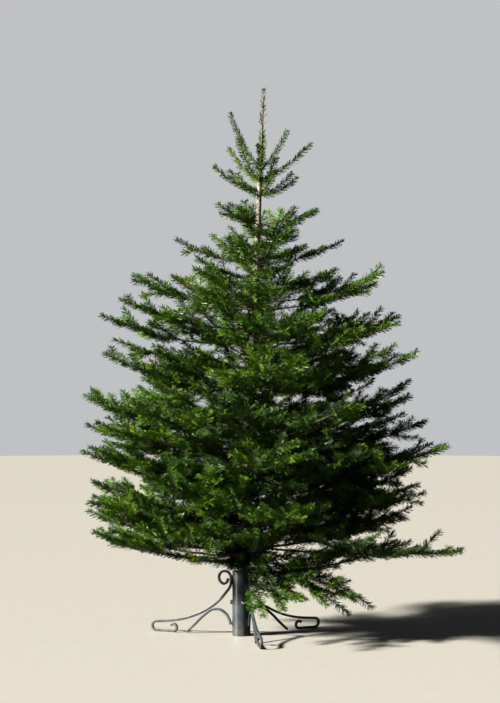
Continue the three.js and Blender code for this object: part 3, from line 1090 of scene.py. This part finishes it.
# The needles: flat, blunt and 2 to 3 cm long, dark and glossy above, with pale bands below.
# They stand in combs on both sides of each shoot, with shorter ones leaning forward over it.
NEEDLE_COUNT = 460000
NEEDLE_LENGTH = 0.0285
NEEDLE_WIDTH = 0.0028
GREENS = {
    "deep": (0.008, 0.030, 0.001, 1),
    "bottle": (0.013, 0.048, 0.0015, 1),
    "middle": (0.046, 0.134, 0.002, 1),
    "olive": (0.072, 0.166, 0.003, 1),
    "fresh": (0.104, 0.212, 0.004, 1),
    # A bluish green dealt to some sprays: a painted silvery sheen that stands in for the sky's reflection on
    # glossy needles.
    "painted_sky_sheen": (0.060, 0.140, 0.026, 1),
}
# The old needles' deep and bottle greens are partly the darker colour of older needles and partly painted
# shade, dark enough that the gaps deep in the crown look shaded.
OLD_GREENS_WITH_PAINTED_SHADE = ("deep", "bottle")
YOUNG_GREENS = ("middle", "olive", "fresh", "painted_sky_sheen")
OLD_FROM = 1.0  # years, from which a needle has darkened
SHED_FROM = 2  # years, from which a part of the needles has fallen
NEEDLES_KEPT = 0.65
SHADE_KEPT = 0.3  # the share of needles on wood that gets no light
LIGHT_KEPT = 0.7
SHORT_SHOOT_NEEDLES = 1.2
LEADER_NEEDLES = 0.4
OVER_SHARE = 0.24  # the share of needles that lean forward over the shoot
# How far round the shoot a needle stands from straight up, in degrees: over it, and in the combs
OVER_TURN = (0, 38)
COMB_TURN = (38, 138)
# The angle between a needle and its shoot in degrees: its mean and its spread
OVER_ANGLE = (34, 5)
COMB_ANGLE = (57, 5)
TOP_ANGLE = (48, 8)
LEADER_ANGLE = (36, 9)
TIP_CLOSING = 18  # degrees less, close to the shoot's tip
POINTING_SPREAD = 0.035
FACE_SPREAD = 0.15
OVER_LENGTH = 0.74  # lengths against a needle of the combs
ROUND_LENGTH = 0.8
TIP_SHORTENING = 0.35
PALE_BANDS = (0.09, 0.16, 0.05, 1)
needle_tone, taken, given_out = new_group(
    "needle tone",
    [("Green", COLOUR, (0.03, 0.07, 0.02, 1)), ("Change", FLOAT, 0.3)],
    [("Color", COLOUR), ("Roughness", FLOAT), ("Height", FLOAT)],
)
place = add_node(needle_tone, "ShaderNodeTexCoord").outputs["Object"]
patches = noise_mask(needle_tone, place, 14.0, 0.3, 0.7, 3.0)
fine = noise_mask(needle_tone, place, 300.0, 0.25, 0.75, 2.0)
darker = add_node(needle_tone, "ShaderNodeHueSaturation", {"Value": 0.62, "Hue": 0.51})
needle_tone.links.new(taken.outputs["Green"], darker.inputs["Color"])
changed = calculate(needle_tone, "MULTIPLY", patches, taken.outputs["Change"])
toned = mix_colours(needle_tone, changed, taken.outputs["Green"], darker.outputs["Color"])
needle_tone.links.new(toned, given_out.inputs["Color"])
needle_tone.links.new(calculate(needle_tone, "MULTIPLY_ADD", fine, 0.15, 0.34), given_out.inputs["Roughness"])
needle_tone.links.new(fine, given_out.inputs["Height"])


def needle_material(name, green):
    """One green, with the pale bands showing where a needle is seen from below."""
    values = {"Green": green, "Change": 0.6}
    material = new_material(name, needle_tone, values, 0.15, 0.0002, Specular_IOR_Level=0.28)
    tree = material.node_tree
    shader = tree.nodes["Principled BSDF"]
    above = shader.inputs["Base Color"].links[0].from_socket
    under = calculate(tree, "MULTIPLY", add_node(tree, "ShaderNodeNewGeometry").outputs["Backfacing"], 0.18)
    tree.links.new(mix_colours(tree, under, above, PALE_BANDS), shader.inputs["Base Color"])
    return material


rows = []
for number, shoot in enumerate(shoots):
    line = [np.array(p) for p in shoot["points"]]
    lengths = [float(np.linalg.norm(b - a)) for a, b in zip(line, line[1:])]
    total = sum(lengths)
    gone = 0.0
    for start, end, length in zip(line, line[1:], lengths):
        middle = gone + length / 2
        age = shoot["years"] * (1 - middle / total)
        light = light_at(Vector((start + end) / 2))
        keep = (1.0 if age < SHED_FROM else NEEDLES_KEPT) * (SHADE_KEPT + LIGHT_KEPT * light)
        if shoot["style"] in ("top", "small"):
            keep = SHORT_SHOOT_NEEDLES
        if middle < shoot["bare"]:
            keep = 0.0
        if shoot["style"] == "leader":
            keep = LEADER_NEEDLES
        rows.append((number, *start, *end, gone, total, keep * length, shoot["spray"], age))
        gone += length
rows = np.array(rows)
wanted = rows[:, 9] * NEEDLE_COUNT / rows[:, 9].sum()
counts = np.floor(wanted + draw.random(len(rows))).astype(int)
row = np.repeat(np.arange(len(rows)), counts)
data = rows[row]
share = draw.random(len(row))
start, end = data[:, 1:4], data[:, 4:7]
way = unit(end - start)
foot = start + (end - start) * share[:, None]
along = (data[:, 7] + np.linalg.norm(end - start, axis=1) * share) / data[:, 8]
to_tip = data[:, 8] * (1 - along)
steep = np.abs(way[:, 2]) > 0.94
up = np.where(steep[:, None], np.array([[0.3, -0.9, 0.2]]), np.array([[0.0, 0.0, 1.0]]))
side = unit(np.cross(way, up))
over = np.cross(side, way)
kinds = {"spray": 0, "small": 0, "top": 1, "leader": 2}
style = np.array([kinds[s["style"]] for s in shoots])[data[:, 0].astype(int)]
turn = draw.choice([-1.0, 1.0], len(row))
over_the_top = draw.random(len(row)) < OVER_SHARE
comb = np.where(over_the_top, draw.uniform(*OVER_TURN, len(row)), draw.uniform(*COMB_TURN, len(row)))
comb = np.radians(comb)
round_the_shoot = draw.uniform(0, math.pi, len(row))
turn_angle = np.where(style == 0, comb, round_the_shoot) * turn
leaving = np.where(over_the_top, draw.normal(*OVER_ANGLE, len(row)), draw.normal(*COMB_ANGLE, len(row)))
leaving = np.radians(leaving)
leaving -= np.radians(TIP_CLOSING) * np.exp(-to_tip / 0.018)
leaving = np.where(style == 1, np.radians(draw.normal(*TOP_ANGLE, len(row))), leaving)
leaving = np.where(style == 2, np.radians(draw.normal(*LEADER_ANGLE, len(row))), leaving)
outwards = over * np.cos(turn_angle)[:, None] + side * np.sin(turn_angle)[:, None]
pointing = way * np.cos(leaving)[:, None] + outwards * np.sin(leaving)[:, None]
pointing = unit(pointing + draw.normal(0, POINTING_SPREAD, (len(row), 3)))
length = NEEDLE_LENGTH * draw.uniform(0.8, 1.14, len(row))
length *= np.where(np.abs(turn_angle) < 0.7, OVER_LENGTH, 1.0) * np.where(style == 0, 1.0, ROUND_LENGTH)
length *= 1 - TIP_SHORTENING * np.exp(-to_tip / 0.012)
above_face = over * np.abs(np.sin(turn_angle))[:, None] + way * np.cos(turn_angle)[:, None]
above_face = unit(above_face + draw.normal(0, FACE_SPREAD, (len(row), 3)))
across = unit(np.cross(pointing, above_face))
normal = np.cross(across, pointing)
width = NEEDLE_WIDTH * draw.uniform(0.85, 1.1, len(row))[:, None]
reach = length[:, None]
foot = foot + outwards * 0.001
corners = np.stack(
    [
        foot - across * width * 0.3,
        foot + across * width * 0.3,
        foot + pointing * reach * 0.92 + across * width * 0.47 + normal * reach * 0.02,
        foot + pointing * reach - across * width * 0.36,
    ],
    axis=1,
)
sprays = data[:, 10].astype(int)
old = data[:, 11] > OLD_FROM
names = list(GREENS)
green_of = np.zeros(len(row), int)
for greens, needles in ((OLD_GREENS_WITH_PAINTED_SHADE, old), (YOUNG_GREENS, ~old)):
    spray_sizes = np.bincount(sprays[needles], minlength=spray_count + 1)
    load = np.zeros(len(greens))
    dealt = np.zeros(spray_count + 1, int)
    for spray in draw.permutation(spray_count + 1):
        lightest = int(np.argmin(load))
        dealt[spray] = names.index(greens[lightest])
        load[lightest] += spray_sizes[spray]
    green_of[needles] = dealt[sprays[needles]]
for k, name in enumerate(names):
    mine = corners[green_of == k]
    quads = np.arange(mine.shape[0] * 4).reshape(-1, 4)
    mesh = mesh_from_arrays(f"needles_{name}", mine.reshape(-1, 3), quads, np.zeros((0, 3), int), True)
    stood_for = mass_names if k == 0 else []
    material = needle_material(f"needles, {name} green", GREENS[name])
    add_piece(f"fir_needles_{name}", mesh, material, "needles", *stood_for)

# The floor, the light and the camera: a plain pale floor, one low warm lamp from the left and a
# little in front, a faint fill from all round, and a camera level with the middle of the tree.
FLOOR_RADIUS = 14.0
FLOOR_PAINT = (0.42, 0.415, 0.405, 1)
BOUNCE = (0.07, 0.07, 0.06, 1)  # what the floor throws back at the tree
CAMERA_DISTANCE = 7.987
CAMERA_X = 0.036
CAMERA_HEIGHT = 1.1925
CAMERA_LENS = 97.3
SENSOR = 36.0
KEY_FROM = Vector((-4.6, -1.75, 2.5))
KEY_STRENGTH = 15.5
KEY_SOFTNESS = math.radians(5)
SURROUND = (0.95, 0.97, 1.0, 1)
BACKDROP_STRENGTH = 0.55
FILL_STRENGTH = 0.04
floor_plate = bmesh.new()
bmesh.ops.create_circle(floor_plate, cap_ends=True, segments=96, radius=FLOOR_RADIUS)
floor_mesh = mesh_of(floor_plate, "floor")
floor = bpy.data.objects.new("floor", floor_mesh)
bpy.context.scene.collection.objects.link(floor)
floor_paint = new_material(
    "pale floor", needle_tone, {"Green": FLOOR_PAINT, "Change": 0.12}, 0.05, 0.0005, Specular_IOR_Level=0.2
)
tree = floor_paint.node_tree
painted = tree.nodes["Principled BSDF"].inputs["Base Color"].links[0].from_socket
seen = add_node(tree, "ShaderNodeLightPath").outputs["Is Camera Ray"]
tree.links.new(mix_colours(tree, seen, BOUNCE, painted), tree.nodes["Principled BSDF"].inputs["Base Color"])
floor_mesh.materials.append(floor_paint)

world = bpy.data.worlds.new("surround")
bpy.context.scene.world = world
world.use_nodes = True
sky = world.node_tree.nodes["Background"]
sky.inputs["Color"].default_value = SURROUND
seen = add_node(world.node_tree, "ShaderNodeLightPath").outputs["Is Camera Ray"]
strength = calculate(world.node_tree, "MULTIPLY_ADD", seen, BACKDROP_STRENGTH - FILL_STRENGTH, FILL_STRENGTH)
world.node_tree.links.new(strength, sky.inputs["Strength"])
key = bpy.data.lights.new("key", "SUN")
key.energy = KEY_STRENGTH
key.angle = KEY_SOFTNESS
key.color = (1.0, 0.94, 0.80)
key_lamp = bpy.data.objects.new("key", key)
key_lamp.location = KEY_FROM
key_lamp.rotation_euler = (-KEY_FROM).to_track_quat("-Z", "Y").to_euler()
bpy.context.scene.collection.objects.link(key_lamp)
bpy.context.scene.view_settings.view_transform = "Standard"

lens = bpy.data.cameras.new("camera")
lens.sensor_width = SENSOR
lens.lens = CAMERA_LENS
camera = bpy.data.objects.new("camera", lens)
camera.location = (CAMERA_X, -CAMERA_DISTANCE, CAMERA_HEIGHT)
camera.rotation_euler = (math.radians(90), 0, 0)
bpy.context.scene.collection.objects.link(camera)
bpy.context.scene.camera = camera
